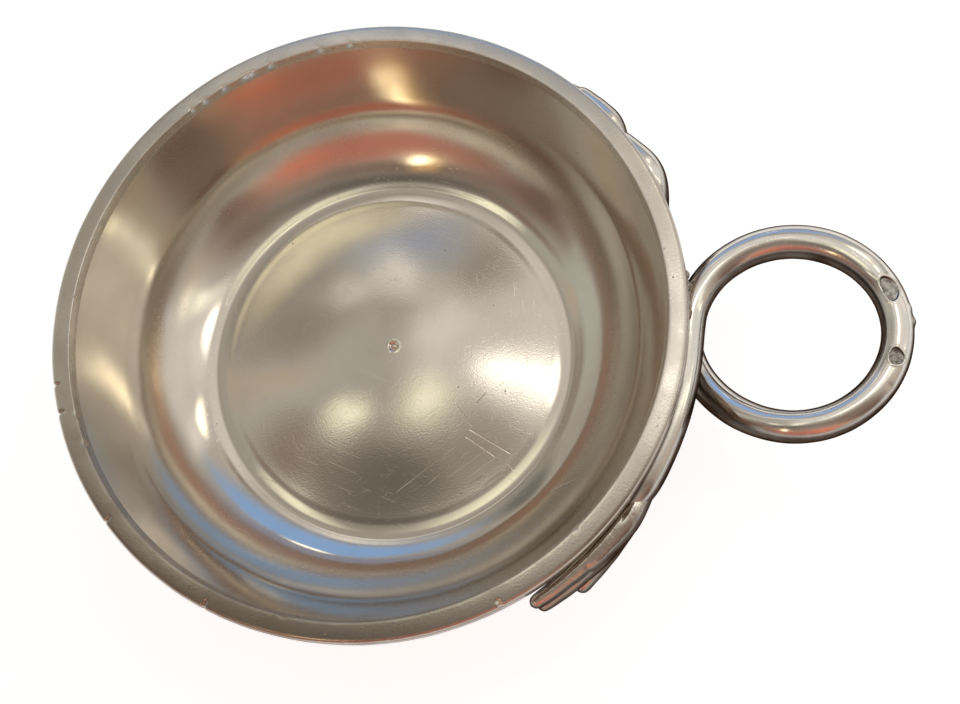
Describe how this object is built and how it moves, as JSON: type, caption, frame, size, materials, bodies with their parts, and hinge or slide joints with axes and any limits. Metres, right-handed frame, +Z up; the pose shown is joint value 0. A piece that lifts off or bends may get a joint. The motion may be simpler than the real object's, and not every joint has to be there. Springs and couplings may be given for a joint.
{
  "type": "tastevin",
  "caption": "Shallow round silver wine-tasting cup with a domed floor, a thick flat rim band, and a rod finger ring whose tails cross and end in leaves under the rim.",
  "frame": {"origin": "centre of the bowl's foot circle, on the plane that the cup stands on", "axes": "+X from the bowl's axis towards the finger ring, +Z up out of the bowl, +Y towards the upper leaf"},
  "size_m": [0.1062, 0.08, 0.0212],
  "materials": {
    "bowl_silver": "worn satin silver with fine scratches",
    "rim_silver": "matt silver with fine file marks across the top",
    "rod_silver": "polished silver, tarnished in the recesses",
    "leaf_silver": "cast silver, polished on the high places and dark in the grooves",
    "solder": "dull silver solder"
  },
  "bodies": {
    "root": {"bowl": "bowl_silver", "rim_band": "rim_silver", "handle_ring": "rod_silver", "lower_leaf": "leaf_silver", "upper_leaf": "leaf_silver", "lower_seam": "solder", "upper_seam": "solder", "crossing_solder": "solder"}
  },
  "joints": []
}
